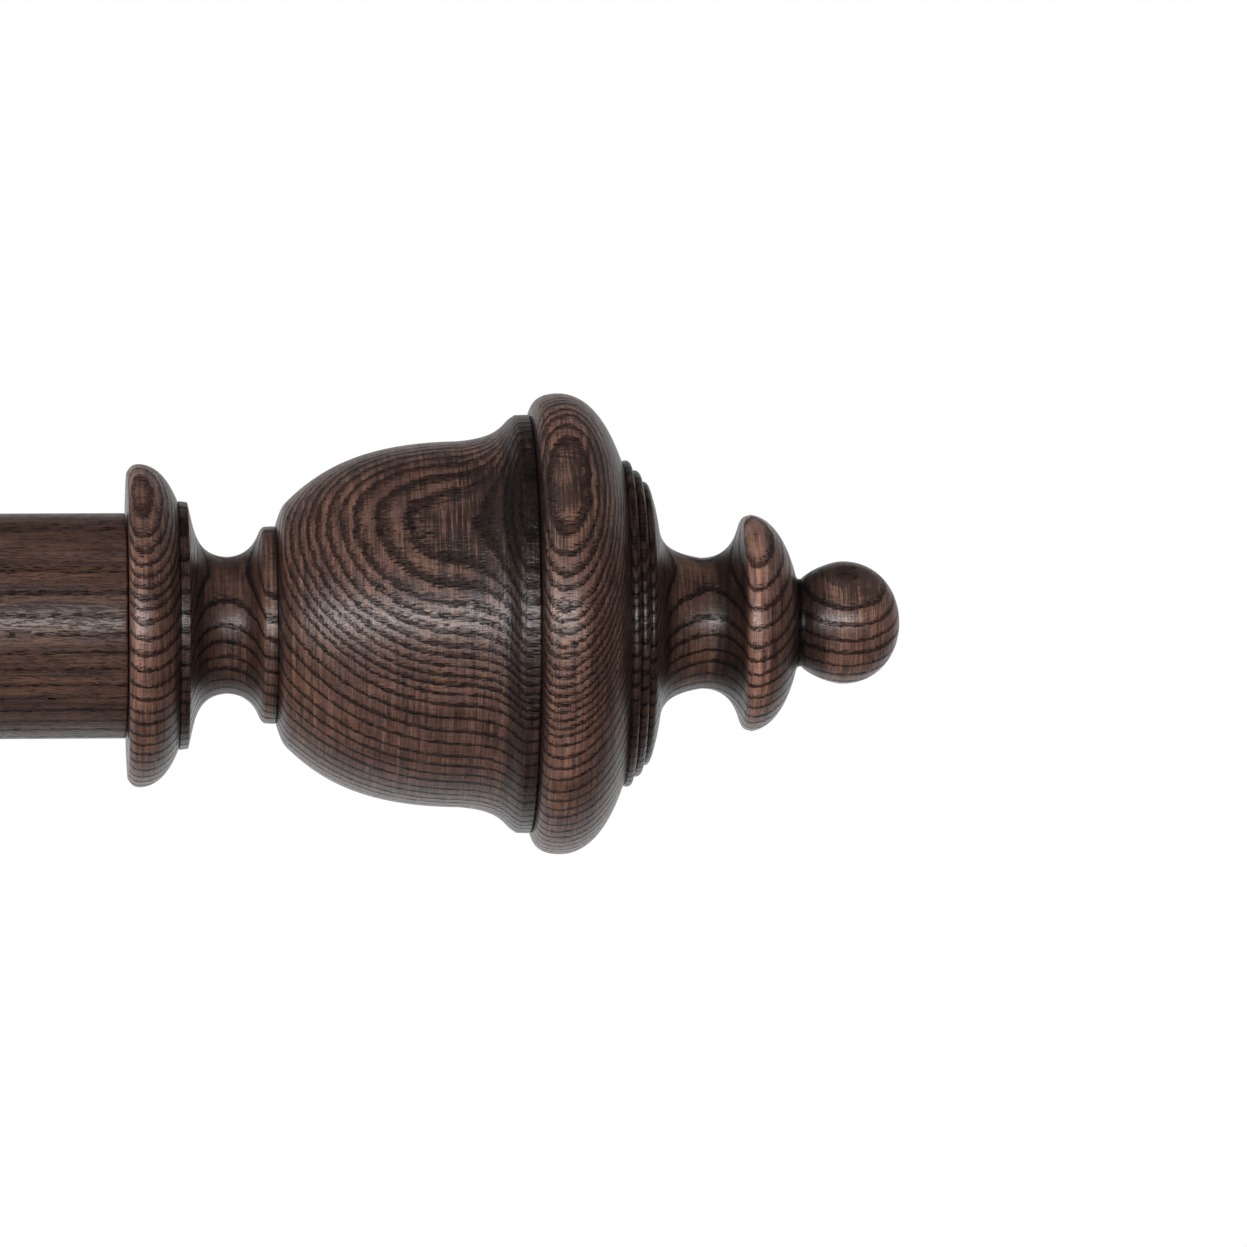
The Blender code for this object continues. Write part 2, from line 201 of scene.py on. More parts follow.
def relief(points):
    """How far an outline stands out (positive) or lies back (negative) at each of its points.

    Each point is compared with the mean of the outline within each reach, as a share of that reach.
    An outline that ends on the axis carries on down the other side.
    """
    path = list(points)
    if path[-1].y < WELD:
        path += [Vector((point.x, -point.y)) for point in reversed(points[:-1])]
    samples, marks = [], []
    for start, end in zip(path, path[1:]):
        marks.append(len(samples))
        steps = max(1, round((end - start).length / RELIEF_SAMPLE))
        samples += [start.lerp(end, i / steps) for i in range(steps)]
    samples.append(path[-1])
    marks.append(len(samples) - 1)
    totals = list(itertools.accumulate(samples, initial=Vector((0, 0))))
    result = []
    for point, mark in zip(points, marks):
        tangent = samples[min(mark + 2, len(samples) - 1)] - samples[max(mark - 2, 0)]
        outwards = Vector((-tangent.y, tangent.x)).normalized()
        standing = 0
        for reach, weight, raised in RELIEF_REACHES:
            span = round(reach / RELIEF_SAMPLE)
            low, high = max(0, mark - span), min(len(samples), mark + span + 1)
            mean = (totals[high] - totals[low]) / (high - low)
            height = (point - mean).dot(outwards) / reach
            standing += weight * (raised * height if height > 0 else height)
        result.append(standing)
    return result


def to_object(name, mesh_edit, surface):
    """Turns a bmesh in millimetres into an object in metres."""
    bmesh.ops.remove_doubles(mesh_edit, verts=mesh_edit.verts, dist=WELD)
    bmesh.ops.recalc_face_normals(mesh_edit, faces=mesh_edit.faces)
    bmesh.ops.scale(mesh_edit, vec=(MM, MM, MM), verts=mesh_edit.verts)
    mesh = bpy.data.meshes.new(name)
    mesh_edit.to_mesh(mesh)
    mesh_edit.free()
    mesh.shade_smooth()
    mesh.set_sharp_from_angle(angle=SMOOTH_ANGLE)
    made = bpy.data.objects.new(name, mesh)
    bpy.context.scene.collection.objects.link(made)
    if surface:
        mesh.materials.append(surface)
    return made


def turned(name, outline, surface, sides=FINE_SIDES, ease=0.25, closed=False):
    """Sweeps an outline round local X, the turning axis. A closed outline ends where it starts."""
    mesh_edit = bmesh.new()
    layer = mesh_edit.verts.layers.float.new(RELIEF)
    rings = []
    points = outline.eased(ease, closed)
    for point, standing in zip(points, relief(points)):
        if point.y < WELD:
            ring = [mesh_edit.verts.new((point.x, 0, 0))] * sides
        else:
            spots = [point.y * direction(360 * i / sides) for i in range(sides)]
            ring = [mesh_edit.verts.new((point.x, spot.x, spot.y)) for spot in spots]
        for vert in ring:
            vert[layer] = standing
        rings.append(ring)
    pairs = list(zip(rings, rings[1:]))
    if closed:
        pairs.append((rings[-1], rings[0]))
    for near, far in pairs:
        for i in range(sides):
            j = (i + 1) % sides
            corners = dict.fromkeys((near[i], near[j], far[j], far[i]))
            mesh_edit.faces.new(list(corners))
    return to_object(name, mesh_edit, surface)


def prism(points, start, length):
    """A bmesh in millimetres of these (y, z) points, carried along X."""
    mesh_edit = bmesh.new()
    face = mesh_edit.faces.new([mesh_edit.verts.new((start, y, z)) for y, z in points])
    made = bmesh.ops.extrude_face_region(mesh_edit, geom=[face])
    moved = [item for item in made["geom"] if isinstance(item, bmesh.types.BMVert)]
    bmesh.ops.translate(mesh_edit, vec=(length, 0, 0), verts=moved)
    return mesh_edit


def cut(target, cutter):
    """Takes the cutter's shape out of the target for good."""
    modifier = target.modifiers.new("cut", "BOOLEAN")
    modifier.operation = "DIFFERENCE"
    modifier.solver = "EXACT"
    modifier.object = cutter
    bpy.context.view_layer.update()
    evaluated = target.evaluated_get(bpy.context.evaluated_depsgraph_get())
    mesh = bpy.data.meshes.new_from_object(evaluated)
    target.modifiers.clear()
    target.data = mesh
    mesh.set_sharp_from_angle(angle=SMOOTH_ANGLE)
    bpy.data.objects.remove(cutter)


def centre(node):
    low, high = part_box(node)
    return (low + high) / 2


def end_of(node, side):
    """The middle of the node's left or right end."""
    spot = centre(node)
    low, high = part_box(node)
    spot.x = low.x if side == "left" else high.x
    return spot


def finial_base(side):
    """Where the finial meets the pole."""
    return end_of(f"finial_{side}", "left" if side == "right" else "right")


def stand_for(piece, node, origin, turn=NO_TURN):
    """Puts a piece at a CAD node's place, and makes it ride and show in that node's stead."""
    piece.matrix_world = Matrix.Translation(origin) @ turn
    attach(piece, body_of(node))
    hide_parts(node)


def body_of(node):
    bodies = frame["record"]["behaviour"]["bodies"]
    return next(body for body, members in bodies.items() if node in members)


# ---------------------------------------------------------------- materials

class Graph:
    """Short ways to add nodes to a material."""

    def __init__(self, name):
        self.material = bpy.data.materials.new(name)
        self.material.use_nodes = True
        self.tree = self.material.node_tree
        self.shader = self.tree.nodes["Principled BSDF"]

    def node(self, kind, **settings):
        made = self.tree.nodes.new(kind)
        for key, value in settings.items():
            setattr(made, key, value)
        return made

    def feed(self, socket, value):
        if isinstance(value, bpy.types.NodeSocket):
            self.tree.links.new(value, socket)
        else:
            socket.default_value = value

    def math(self, operation, a, b=None, c=None, clamp=False):
        made = self.node("ShaderNodeMath", operation=operation, use_clamp=clamp)
        for socket, value in zip(made.inputs, (a, b, c)):
            if value is not None:
                self.feed(socket, value)
        return made.outputs[0]

    def add(self, *terms):
        total = terms[0]
        for term in terms[1:]:
            total = self.math("ADD", total, term)
        return total

    def times(self, a, b):
        return self.math("MULTIPLY", a, b)

    def ramp(self, value, low, high, to_low=0.0, to_high=1.0):
        """A smooth step from to_low at low to to_high at high."""
        made = self.node("ShaderNodeMapRange", interpolation_type="SMOOTHSTEP")
        for socket, given in zip(made.inputs, (value, low, high, to_low, to_high)):
            self.feed(socket, given)
        return made.outputs[0]

    def vector(self, x, y, z):
        made = self.node("ShaderNodeCombineXYZ")
        for socket, value in zip(made.inputs, (x, y, z)):
            self.feed(socket, value)
        return made.outputs[0]

    def stretch(self, place, x, y, z, shift=0.0):
        """The place with each axis multiplied, and moved to another part of the noise."""
        made = self.node("ShaderNodeVectorMath", operation="MULTIPLY_ADD")
        self.feed(made.inputs[0], place)
        made.inputs[1].default_value = (x, y, z)
        made.inputs[2].default_value = (shift, shift * 0.7, -shift)
        return made.outputs[0]

    def noise(self, place, detail=1.0, roughness=0.5):
        made = self.node("ShaderNodeTexNoise", noise_dimensions="3D")
        self.feed(made.inputs["Vector"], place)
        made.inputs["Scale"].default_value = 1.0
        made.inputs["Detail"].default_value = detail
        made.inputs["Roughness"].default_value = roughness
        return made.outputs["Fac"]

    def swing(self, place, size, detail=1.0, roughness=0.5):
        """Noise of about plus or minus size."""
        return self.math("MULTIPLY_ADD", self.noise(place, detail, roughness), 2 * size, -size)

    def mix(self, amount, a, b, blend="MIX"):
        made = self.node("ShaderNodeMix", data_type="RGBA", blend_type=blend)
        self.feed(made.inputs["Factor"], amount)
        colours = [socket for socket in made.inputs if socket.type == "RGBA"]
        for socket, value in zip(colours, (a, b)):
            self.feed(socket, value if isinstance(value, bpy.types.NodeSocket) else (*value, 1.0))
        return next(socket for socket in made.outputs if socket.type == "RGBA")

    def millimetres(self):
        coordinates = self.node("ShaderNodeTexCoord")
        scaled = self.node("ShaderNodeVectorMath", operation="SCALE")
        self.feed(scaled.inputs[0], coordinates.outputs["Object"])
        scaled.inputs["Scale"].default_value = 1 / MM
        return scaled.outputs[0]

    def split(self, place):
        made = self.node("ShaderNodeSeparateXYZ")
        self.feed(made.inputs[0], place)
        return made.outputs

    def bump(self, height, distance, strength=1.0):
        made = self.node("ShaderNodeBump")
        made.inputs["Strength"].default_value = strength
        made.inputs["Distance"].default_value = distance
        self.feed(made.inputs["Height"], height)
        self.feed(self.shader.inputs["Normal"], made.outputs[0])
        self.feed(self.shader.inputs["Coat Normal"], made.outputs[0])


def srgb(red, green, blue):
    """A linear colour from 0 to 255 display values."""
    def linear(value):
        value /= 255
        return value / 12.92 if value <= 0.04045 else ((value + 0.055) / 1.055) ** 2.4
    return tuple(linear(value) for value in (red, green, blue))


LATEWOOD = srgb(77, 55, 49)
LATEWOOD_WARM = srgb(98, 70, 56)
EARLYWOOD = srgb(32, 21, 18)
STAIN = srgb(36, 27, 23)
PORE = srgb(8, 6, 5)
# How much the painted shade in recesses darkens at most, and how relief turns into that painted shade and
# into a painted highlight on ridges, as ramps.
RECESS_SHADE = 0.85
RECESS_SHADE_RAMP = (-0.05, -0.65, 0.0, 1.0)
RIDGE_HIGHLIGHT_RAMP = (0.09, 0.32, 1.0, 1.6)
# Over what depth in mm the rings' spacing changes.
RING_EASE = 1.5


def stain(g, x, side, out, marks, station, length, width):
    """How strongly a smoky mineral stain shows: a patch on the bark side, around station."""
    along = g.times(g.math("SUBTRACT", x, station), 1 / length)
    across = g.times(side, 1 / width)
    reach = g.math("SQRT", g.add(g.times(along, along), g.times(across, across)))
    edge = g.swing(g.vector(g.times(x, 0.10), g.times(side, 0.12), out), 0.8, 2.0)
    patch = g.ramp(g.add(reach, edge, g.times(marks, 0.8)), 0.6, 1.25, 0.85, 0.0)
    return g.times(patch, g.ramp(out, 5.0, 14.0))


def between(g, x, start, end):
    """1 from start to end, softened over a little more than a millimetre at both."""
    return g.math("SUBTRACT", g.ramp(x, start - 1.0, start + 0.6), g.ramp(x, end - 0.4, end + 0.8))


def ring_pattern(g, depth, shift, tight, wide, widen_at, starts_at):
    """Counts rings from the depth. Gives the depth into a ring in mm, rings per mm and a tone per ring.

    The rings' spacing eases from wide to tight towards the bark.
    """
    extra = 1 / tight - 1 / wide
    rise = g.math("EXPONENT", g.times(g.math("SUBTRACT", depth, widen_at), 1 / RING_EASE))
    soft = g.math("LOGARITHM", g.add(rise, 1.0), math.e)
    first = starts_at / wide
    first += extra * RING_EASE * math.log1p(math.exp((starts_at - widen_at) / RING_EASE))
    rings = g.add(g.times(depth, 1 / wide), g.times(soft, extra * RING_EASE), -first)
    uneven = g.swing(g.vector(g.times(rings, 0.83), shift, 0.0), 0.25, 0.0)
    rings = g.add(rings, uneven)
    density = g.math("MULTIPLY_ADD", g.math("DIVIDE", rise, g.add(rise, 1.0)), extra, 1 / wide)
    age = g.math("DIVIDE", g.math("FRACT", rings), density)
    tone = g.noise(g.vector(g.math("FLOOR", rings), shift, 3.0), 0.0)
    return age, density, tone


def painted_shade_and_highlight(g, along, painted_light_rows):
    """How much painted shade lies in the recesses, and how light the wood is painted: darker in the
    recesses and in darkened bands, lighter as a painted highlight on ridges and in bands with a share
    below 0.
    """
    standing = g.node("ShaderNodeAttribute", attribute_name=RELIEF).outputs["Fac"]
    recess_shade = g.ramp(standing, *RECESS_SHADE_RAMP)
    light = g.times(g.ramp(standing, *RIDGE_HIGHLIGHT_RAMP), g.math("SUBTRACT", 1.0, g.times(recess_shade, RECESS_SHADE)))
    # Painted shade over each band, or a painted highlight where the share is below 0.
    for start, end, share in painted_light_rows:
        painted_amount = g.times(between(g, along, start, end), share)
        light = g.times(light, g.math("SUBTRACT", 1.0, painted_amount))
    return recess_shade, light


def oak(
    name, facing, shift, grain="X", swing=8.0, swing_length=150.0, wobble=1.0,
    tight=1.7, wide=3.6, widen_at=26.8, starts_at=45.0, banding=0.95, turning=1.0, gloss=1.0, tone=1.0,
    pored=0.20, stains=(), painted_light_rows=(),
):
    """Toasted oak whose fibres run along the local axis grain, with lathe marks about local X.

    For grain along X the bark is towards the angle facing, in degrees from -Y towards +Z. Y or Z grain
    trades that axis with X. The bark swings by swing degrees along swing_length, and wobble is how
    uneven the rings are. They are tight mm apart near the bark and wide mm apart below widen_at, and
    one of them starts at starts_at. banding is how dark each ring starts, turning how strongly the
    lathe's sanding marks show, gloss how much lacquer there is, tone how light the wood is, and pored
    how open the pores are between the bands. stains has (station, length, width) rows. The rows of
    (start, end, share) after them are bands of the outline that painted shade darkens, or, with a share
    below 0, that a painted highlight lightens.
    """
    g = Graph(name)
    lathe = g.millimetres()
    along, across, up = g.split(lathe)
    order = {"X": (along, across, up), "Y": (across, along, up), "Z": (up, across, along)}[grain]
    x, y, z = order
    place = g.vector(*order)

    # The grain wanders a little along the piece, so the rings' direction swings with it.
    wander = g.math("COSINE", g.times(g.add(x, shift), math.tau / swing_length))
    angle = g.math("MULTIPLY_ADD", wander, math.radians(swing), math.radians(facing))
    sine, cosine = g.math("SINE", angle), g.math("COSINE", angle)
    out = g.math("SUBTRACT", g.times(z, sine), g.times(y, cosine))
    side = g.math("ADD", g.times(y, sine), g.times(z, cosine))
    depth = g.add(
        out,
        g.times(g.times(side, side), 1 / 700),
        g.swing(g.stretch(place, 0.009, 0.03, 0.03, shift), 0.6 * wobble),
        g.swing(g.stretch(place, 0.06, 0.25, 0.25, shift), 0.45 * wobble, 2.0),
        g.swing(g.stretch(place, 0.35, 2.2, 2.2, shift + 1), 0.55, 1.0),
    )
    age, density, ring_tone = ring_pattern(g, depth, shift, tight, wide, widen_at, starts_at)

    # Each ring starts with a dark porous band that breaks up into short dashes along the grain.
    band = g.math("MULTIPLY_ADD", g.math("DIVIDE", 1.0, density), 0.10, 0.58)
    ragged = g.swing(g.stretch(place, 0.45, 1.9, 1.9, shift), 0.95, 2.0, 0.6)
    early = g.ramp(g.add(g.math("SUBTRACT", age, band), ragged), -0.35, 0.50, 1.0, 0.0)
    early = g.times(early, g.ramp(age, 0.0, 0.12))
    early = g.times(early, g.math("MULTIPLY_ADD", ring_tone, 0.8, 0.5, clamp=True))
    vessels = g.noise(g.stretch(place, 0.36, 2.9, 2.9, shift + 5), 1.5, 0.6)
    pores = g.ramp(vessels, 0.50, 0.60)
    pores = g.times(pores, g.math("MULTIPLY_ADD", early, 1.0 - pored, pored))

    # Fibres run along the grain, and show less where sanding marks run round the lathe's axis.
    fibres = g.swing(g.stretch(place, 0.03, 1.5, 1.5, shift + 9), 1.3 - 0.8 * turning, 3.0, 0.75)
    mottle = g.swing(g.stretch(place, 0.05, 0.16, 0.16, shift + 6), 0.60, 2.0)
    radius = g.math("SQRT", g.add(g.times(across, across), g.times(up, up)))
    round_marks = g.swing(g.stretch(lathe, 1.6, 0.06, 0.06, shift + 2), 1.5, 3.0, 0.75)
    face_place = g.vector(g.times(radius, 1.3), g.times(across, 0.05), g.times(up, 0.05))
    face_marks = g.swing(face_place, 0.30, 2.0)
    marks = g.times(g.add(round_marks, face_marks), turning)

    # Warm streaks run round a turned piece, and along the grain of a planed one.
    if turning > 0.5:
        streaks = g.stretch(lathe, 0.75, 0.05, 0.05, shift)
    else:
        streaks = g.stretch(place, 0.02, 0.5, 0.5)
    warmth = g.add(g.noise(streaks, 2.0, 0.7), g.times(ring_tone, 0.35))
    late = g.mix(g.ramp(warmth, 0.55, 0.86), LATEWOOD, LATEWOOD_WARM)
    shade = g.add(1.0, fibres, mottle, marks, g.math("MULTIPLY_ADD", ring_tone, 0.5, -0.25))
    shade = g.times(g.math("MAXIMUM", shade, 0.25), tone)
    late = g.mix(1.0, late, g.vector(shade, shade, shade), "MULTIPLY")
    wood = g.mix(g.times(early, banding), late, EARLYWOOD)
    for patch in stains:
        wood = g.mix(stain(g, x, side, out, marks, *patch), wood, STAIN)
    wood = g.mix(pores, wood, PORE)
    # Painted shade darkens the wood in recesses and in the darkened bands, and a painted highlight
    # lightens the ridges and the lightened bands.
    recess_shade, light = painted_shade_and_highlight(g, along, painted_light_rows)
    wood = g.mix(1.0, wood, g.vector(light, light, light), "MULTIPLY")
    g.feed(g.shader.inputs["Base Color"], wood)

    # The satin lacquer lies on the dense wood and has sunk into the open pores.
    g.feed(g.shader.inputs["Roughness"], g.add(0.45, g.times(pores, 0.15), g.times(marks, 0.06)))
    g.shader.inputs["IOR"].default_value = 1.48
    g.shader.inputs["Specular IOR Level"].default_value = 0.1
    sunk = g.math("MAXIMUM", g.math("MAXIMUM", pores, g.times(early, 0.75)), g.times(recess_shade, 0.8))
    g.feed(g.shader.inputs["Coat Weight"], g.math("MULTIPLY_ADD", sunk, -0.9 * gloss, gloss))
    g.shader.inputs["Coat Roughness"].default_value = 0.26
    g.shader.inputs["Coat IOR"].default_value = 1.5
    texture = g.add(
        g.times(pores, -1.0), g.times(early, -0.20), g.times(marks, 0.22), g.times(fibres, 0.20),
    )
    g.bump(texture, 0.00012)
    return g.material


def metal(name, colour, roughness):
    """A plain metal with fine tool marks and slightly uneven polish."""
    g = Graph(name)
    place = g.millimetres()
    cloud = g.noise(g.stretch(place, 0.25, 0.25, 0.25), 2.0)
    fine = g.noise(g.stretch(place, 4.0, 4.0, 0.2), 2.0)
    tint = g.math("MULTIPLY_ADD", cloud, 0.16, 0.92)
    g.feed(g.shader.inputs["Base Color"], g.mix(1.0, colour, g.vector(tint, tint, tint), "MULTIPLY"))
    polish = g.add(roughness - 0.09, g.times(cloud, 0.10), g.times(fine, 0.10))
    g.feed(g.shader.inputs["Roughness"], polish)
    g.shader.inputs["Metallic"].default_value = 1.0
    g.bump(fine, 0.00002, 0.5)
    return g.material


def fibre_sheet():
    """Dark vulcanised fibre."""
    g = Graph("fibre")
    place = g.millimetres()
    grain = g.noise(g.stretch(place, 1.5, 1.5, 1.5), 3.0)
    g.feed(g.shader.inputs["Base Color"], g.mix(grain, (0.012, 0.012, 0.013), (0.03, 0.029, 0.028)))
    g.feed(g.shader.inputs["Roughness"], g.math("MULTIPLY_ADD", grain, 0.2, 0.65))
    g.bump(grain, 0.00005, 0.6)
    return g.material


def bare_beech():
    """Unfinished beech with short flecks along local Y."""
    g = Graph("beech")
    place = g.millimetres()
    flecks = g.noise(g.stretch(place, 1.2, 0.15, 1.2), 3.0)
    g.feed(g.shader.inputs["Base Color"], g.mix(flecks, srgb(205, 165, 122), srgb(178, 134, 92)))
    g.feed(g.shader.inputs["Roughness"], g.math("MULTIPLY_ADD", flecks, 0.15, 0.5))
    g.bump(flecks, 0.00004, 0.6)
    return g.material


# ---------------------------------------------------------------- turned wood

def finial_outline():
    outline = Outline(FINIAL_BORE, 0).line(FINIAL_BORE, BOLT_HOLE)
    outline.line(WASHER_RECESS, BOLT_HOLE)
    outline.line(WASHER_RECESS, WASHER_RECESS_RADIUS).line(0, WASHER_RECESS_RADIUS)
    # Base moulding: an eased rim, a falling ogee and a fillet.
    outline.line(0, 39.0).line(0.8, 40.1).curve(3.0, 41.0, 45, ALONG, steps=8)
    outline.curve(12.7, 31.9, -1, -62, 0.48, 0.10, 24).line(12.9, 31.2)
    outline.line(13.1, 31.6).line(15.3, 31.3).line(15.5, 30.4)
    # First neck: a deep cove that ends in a bead.
    outline.curve(25.2, 17.35, -76, -4, 0.41, 0.48, 24)
    outline.curve(33.3, 23.1, 2, 57, 0.64, 0.07, 18)
    outline.curve(35.2, 25.0, 66, ALONG, 0.4, 0.4, 8).line(37.4, 25.1).line(37.6, 24.6)
    outline.line(37.75, 25.6)
    # Urn: a full round shoulder, then a lip that flares to a fillet.
    outline.curve(40.2, 31.0, 72, 48, 0.40, 0.30, 8).curve(83.6, 46.5, 45, 1, 0.29, 0.48, 48)
    outline.curve(98.2, 52.8, 4, 25, 0.76, 0.21, 20).line(98.5, 53.1).line(101.9, 53.2)
    outline.line(102.2, 52.5).line(102.45, 54.0)
    # Torus: the widest moulding, falling to three small beads.
    outline.curve(109.6, 58.6, 78, ALONG, 0.42, 0.43, 18)
    outline.curve(125.4, 41.9, ALONG, -59, 0.47, 0.07, 30).line(125.6, 40.9)
    outline.curve(127.9, 40.6, 55, -75, 0.55, 0.45, 8).line(128.1, 38.5)
    outline.curve(130.4, 37.8, 50, -75, 0.55, 0.45, 8).line(130.6, 35.7)
    outline.curve(133.0, 33.4, 45, -78, 0.55, 0.45, 8)
    # Second neck: a cove that opens to a sharp-rimmed cap.
    outline.curve(146.0, 16.65, -71.5, -9, 0.48, 0.64, 26)
    outline.curve(156.3, 26.2, ALONG, 60, 0.61, 0.12, 20).curve(157.7, 27.3, 60, 12, steps=5)
    outline.line(158.7, 27.55)
    outline.curve(170.0, 12.2, -6, -76, 0.10, 0.74, 26)
    # A short throat and the ball.
    outline.line(170.6, 11.2).line(171.6, 11.15)
    outline.curve(182.2, 15.6, 62, ALONG, 0.12, 0.36, 20)
    return outline.curve(196.6, 0, ALONG, IN, 0.40, 0.41, 28)


# Painted shade on that outline, as (start, end, share): below the base, round the collar, at the lip,
# over the beads, behind the cap and in the throat. Rows with a share below 0 are a painted highlight on
# the torus, the cap's rim and the ball.
FINIAL_PAINTED_LIGHT = (
    (11.5, 19.0, 0.55), (30.5, 33.4, 0.40), (36.6, 38.4, 0.60), (94.0, 103.0, 0.66),
    (123.5, 137.0, 0.60), (149.0, 155.6, 0.70), (168.0, 176.5, 0.62),
    (105.0, 114.0, -0.25), (156.0, 161.0, -0.60), (178.0, 199.0, -0.60),
)


def make_finials():
    for side, facing, shift, stains, turn in (
        ("right", 45, 14.0, ((94.0, 19.0, 20.0), (185.0, 12.0, 11.0)), NO_TURN),
        ("left", 118, 375.5, ((62.0, 19.0, 20.0),), HALF_TURN),
    ):
        node = f"finial_{side}"
        wood = oak(
            f"oak_{node}", facing, shift, swing=11.5, swing_length=194.0, stains=stains,
            painted_light_rows=FINIAL_PAINTED_LIGHT,
        )
        piece = turned(f"turned_{node}", finial_outline(), wood)
        stand_for(piece, node, finial_base(side), turn)


def insert_bore():
    """The stepped hole for a threaded insert, from the end face inwards, as (depth, radius)."""
    sleeve = INSERT_RADIUS + FIT
    flange = INSERT_FLANGE_RADIUS + FIT
    return (
        (0, flange), (INSERT_FLANGE + FIT, flange), (INSERT_FLANGE + FIT, sleeve),
        (INSERT_LENGTH + 1, sleeve), (INSERT_LENGTH + 1, BOLT_HOLE), (BOLT_IN_POLE + 6, BOLT_HOLE),
        (BOLT_IN_POLE + 6, 0),
    )


def make_pole():
    """The pole, bored at both ends and drilled underneath for the retaining screws."""
    low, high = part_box("pole")
    length = (high.x - low.x) / MM
    radius = (high.z - low.z) / 2 / MM
    outline = Outline(insert_bore()[-1][0], 0)
    for depth, bore in reversed(insert_bore()[:-1]):
        outline.line(depth, bore)
    outline.line(0, radius).line(EVEN_ENDS, radius).line(length - EVEN_ENDS, radius).line(length, radius)
    for depth, bore in insert_bore():
        outline.line(length - depth, bore)
    wood = oak(
        "oak_pole", 60, 57.0, swing=3.0, swing_length=1400.0, wobble=0.45,
        tight=4.2, wide=4.2, starts_at=11.6, banding=0.45, turning=0.12, gloss=0.75, tone=0.70, pored=0.5,
    )
    pole = turned("turned_pole", outline, wood, ease=0.7)
    for side in ("left", "right"):
        place = (centre(f"retaining_screw_{side}").x - low.x) / MM
        drill = Outline(radius - PILOT_DEPTH, 0).line(radius - PILOT_DEPTH + 1, SCREW_HOLE)
        drill.line(radius + 1, SCREW_HOLE).line(radius + 1, 0)
        cutter = turned("drill", drill, None, SMALL_SIDES, ease=0)
        cutter.matrix_world = Matrix.Translation((place * MM, 0, 0)) @ DOWN
        cut(pole, cutter)
    stand_for(pole, "pole", end_of("pole", "left"))


# ---------------------------------------------------------------- brackets

def rosette_outline():
    """The backplate, with a hollow behind for the wall plate and its boss."""
    plate, boss = PLATE_RADIUS + 0.5, BOSS_RADIUS + 0.5
    hollow, floor = PLATE_THICKNESS + 0.5, BOSS_FRONT + 0.5
    outline = Outline(0, plate).line(0, 45.0).line(0.4, 45.6).curve(1.8, 46.0, 60, ALONG, steps=6)
    outline.line(3.4, 46.0)
    # A falling ogee, a fillet and a cove up to the seat of the arm.
    outline.curve(10.8, 37.0, ALONG, -62, 0.52, 0.12, 20).line(10.9, 36.2).line(12.6, 36.0)
    outline.line(12.8, 35.2).curve(17.6, 22.6, -72, -14, 0.42, 0.46, 20)
    outline.line(17.7, 21.8).curve(ROSETTE_FRONT, 19.6, 78, -80, 0.5, 0.5, 10)
    outline.line(ROSETTE_FRONT, BOLT_HOLE).line(floor, BOLT_HOLE).line(floor, boss)
    return outline.line(hollow, boss).line(hollow, plate)


def arm_outline():
    """The arm, from its foot on the rosette to its seat under the cradle, bored at both ends."""
    insert_end = ARM_BACK + INSERT_LENGTH - 1
    outline = Outline(STUD_FRONT + 1.5, 0).line(STUD_FRONT + 1.5, BOLT_HOLE)
    outline.line(insert_end, BOLT_HOLE).line(insert_end, INSERT_RADIUS + FIT)
    outline.line(ARM_BACK, INSERT_RADIUS + FIT).line(ARM_BACK, 15.8)
    # A foot ring and a cove down to the waist.
    outline.curve(22.6, 17.4, 80, ALONG, steps=10).curve(25.2, 15.2, ALONG, -80, 0.5, 0.5, 10)
    outline.line(26.4, 15.0).line(26.6, 14.4).curve(37.0, 10.6, -66, ALONG, 0.38, 0.55, 24)
    # A cone up to a bead, and the plain seat.
    outline.curve(46.2, 12.8, ALONG, 34, 0.60, 0.20, 18).line(46.4, 13.4)
    outline.curve(48.9, 14.7, 78, ALONG, 0.4, 0.4, 8).curve(51.3, 13.5, ALONG, -78, 0.4, 0.4, 8)
    outline.line(51.5, 13.2).line(ARM_FRONT, 13.2)
    outline.line(ARM_FRONT, DOWEL_RADIUS + FIT).line(DOWEL_BACK - 0.5, DOWEL_RADIUS + FIT)
    return outline.line(DOWEL_BACK - 0.5, 0)


def arc(centre_point, radius, start, end, steps):
    """Points on an arc in the (wallward, up) plane, with angles in degrees."""
    angles = [start + (end - start) * i / steps for i in range(steps + 1)]
    return [Vector(centre_point) + radius * direction(angle) for angle in angles]


def cradle_outline():
    """The U seen along the pole: inside from back to front, then outside from front to back."""
    front_middle = -(CRADLE_INNER + CRADLE_OUTER) / 2
    back_middle = (CRADLE_INNER + CRADLE_BACK) / 2
    inside = arc((0, 0), CRADLE_INNER, 0, -180, 64)
    front_tip = arc((front_middle, FRONT_HORN), (CRADLE_OUTER - CRADLE_INNER) / 2, 0, 180, 20)
    foot_angle = math.degrees(math.asin(PAD_FOOT / CRADLE_OUTER))
    outside = arc((0, 0), CRADLE_OUTER, -180, foot_angle, 56)
    pad = [Vector((CRADLE_BACK, PAD_FOOT + 1.2))]
    back_tip = arc((back_middle, BACK_HORN), (CRADLE_BACK - CRADLE_INNER) / 2, 0, 180, 20)
    return inside + front_tip + outside + pad + back_tip


def cradle(name, surface):
    """A U-shaped block whose side edges are routed round, with its middle on the pole's axis."""
    mesh_edit = prism(cradle_outline(), -CRADLE_WIDTH / 2, CRADLE_WIDTH)
    rims = [edge for edge in mesh_edit.edges if abs(edge.verts[0].co.x - edge.verts[1].co.x) < WELD]
    bmesh.ops.bevel(
        mesh_edit, geom=rims, offset=CRADLE_EDGE, segments=6, profile=0.5, affect="EDGES",
    )
    return to_object(name, mesh_edit, surface)


